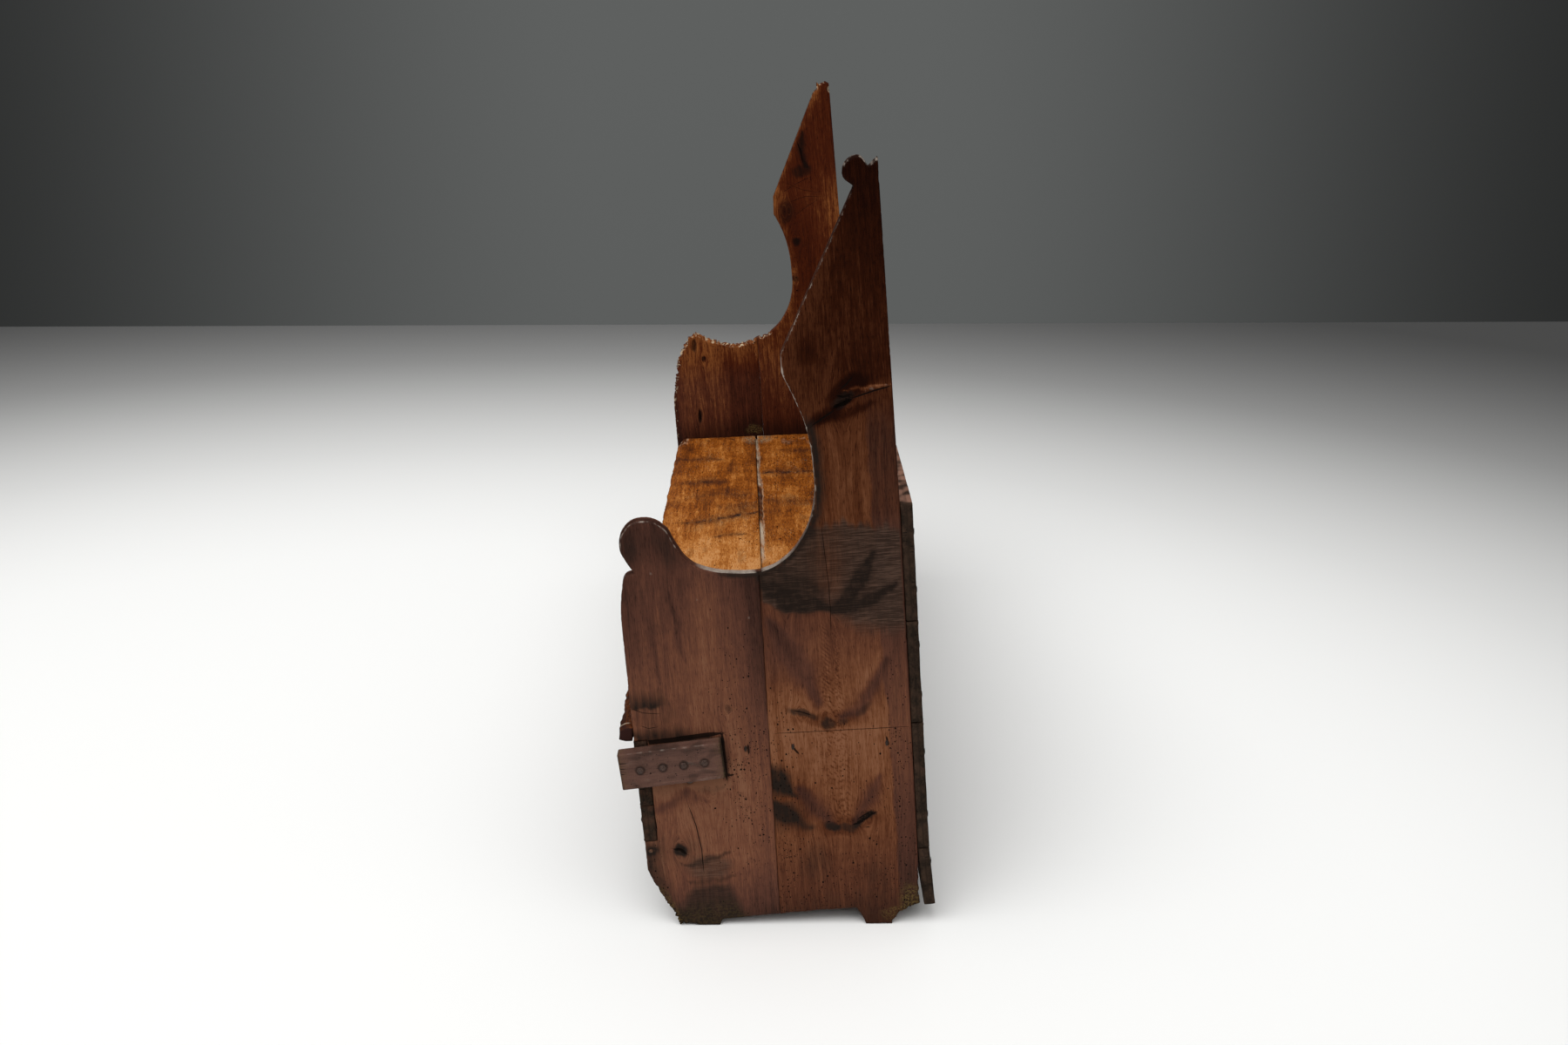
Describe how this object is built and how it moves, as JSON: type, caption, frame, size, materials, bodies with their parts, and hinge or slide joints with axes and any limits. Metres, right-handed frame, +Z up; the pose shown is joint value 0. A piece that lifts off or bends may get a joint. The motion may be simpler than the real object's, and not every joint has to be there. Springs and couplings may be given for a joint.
{
  "type": "bench",
  "caption": "Old plank-built wooden settle bench with tall scrolled ends, a nailed board seat, a front rail and a boarded back, leaning slightly forward on worn feet.",
  "frame": {"origin": "on the floor, at the middle of the whole bench's length and depth", "axes": "+X along the bench towards the end with the repair cleat, +Y from the sitter's knees towards the back boards, +Z up"},
  "size_m": [2.0132, 0.599, 1.4585],
  "materials": {
    "end_wood": "dark brown, dry, worn",
    "seat_wood": "warm brown, polished by use",
    "rail_wood": "dark brown, dry",
    "back_wood": "near-black brown, dry",
    "bearer_wood": "brown, sawn",
    "cleat_wood": "purple-brown, dry",
    "peg_wood": "brown, end grain",
    "forged_iron": "dark, rusted"
  },
  "bodies": {
    "root": {"right_end_front_plank": "end_wood", "right_end_back_plank": "end_wood", "left_end_front_plank": "end_wood", "left_end_back_plank": "end_wood", "seat_front_board": "seat_wood", "seat_back_board": "seat_wood", "front_rail_upper": "rail_wood", "front_rail_lower": "rail_wood", "back_board_1": "back_wood", "back_board_2": "back_wood", "back_board_3": "back_wood", "back_board_4": "back_wood", "right_seat_bearer": "bearer_wood", "left_seat_bearer": "bearer_wood", "end_cleat": "cleat_wood", "right_edge_dowel_1": "peg_wood", "right_edge_dowel_2": "peg_wood", "left_edge_dowel_1": "peg_wood", "left_edge_dowel_2": "peg_wood", "right_bearer_peg": "peg_wood", "left_bearer_peg": "peg_wood", "cleat_nail_1": "forged_iron", "cleat_nail_2": "forged_iron", "cleat_nail_3": "forged_iron", "cleat_nail_4": "forged_iron", "front_foot_nail": "forged_iron", "right_bearer_nail_1": "forged_iron", "right_bearer_nail_2": "forged_iron", "right_bearer_nail_3": "forged_iron", "left_bearer_nail_1": "forged_iron", "left_bearer_nail_2": "forged_iron", "left_bearer_nail_3": "forged_iron", "left_bearer_nail_4": "forged_iron", "right_rail_nail_upper": "forged_iron", "right_rail_nail_lower": "forged_iron", "left_rail_nail_upper": "forged_iron", "left_rail_nail_lower": "forged_iron", "right_seat_nail_1": "forged_iron", "right_seat_nail_2": "forged_iron", "right_seat_nail_3": "forged_iron", "right_seat_nail_4": "forged_iron", "left_seat_nail_1": "forged_iron", "left_seat_nail_2": "forged_iron", "left_seat_nail_3": "forged_iron", "left_seat_nail_4": "forged_iron", "right_back_nail_1_1": "forged_iron", "right_back_nail_1_2": "forged_iron", "right_back_nail_2_1": "forged_iron", "right_back_nail_2_2": "forged_iron", "right_back_nail_3_1": "forged_iron", "right_back_nail_3_2": "forged_iron", "right_back_nail_4_1": "forged_iron", "left_back_nail_1_1": "forged_iron", "left_back_nail_1_2": "forged_iron", "left_back_nail_2_1": "forged_iron", "left_back_nail_2_2": "forged_iron", "left_back_nail_3_1": "forged_iron", "left_back_nail_3_2": "forged_iron", "left_back_nail_4_1": "forged_iron"}
  },
  "joints": []
}
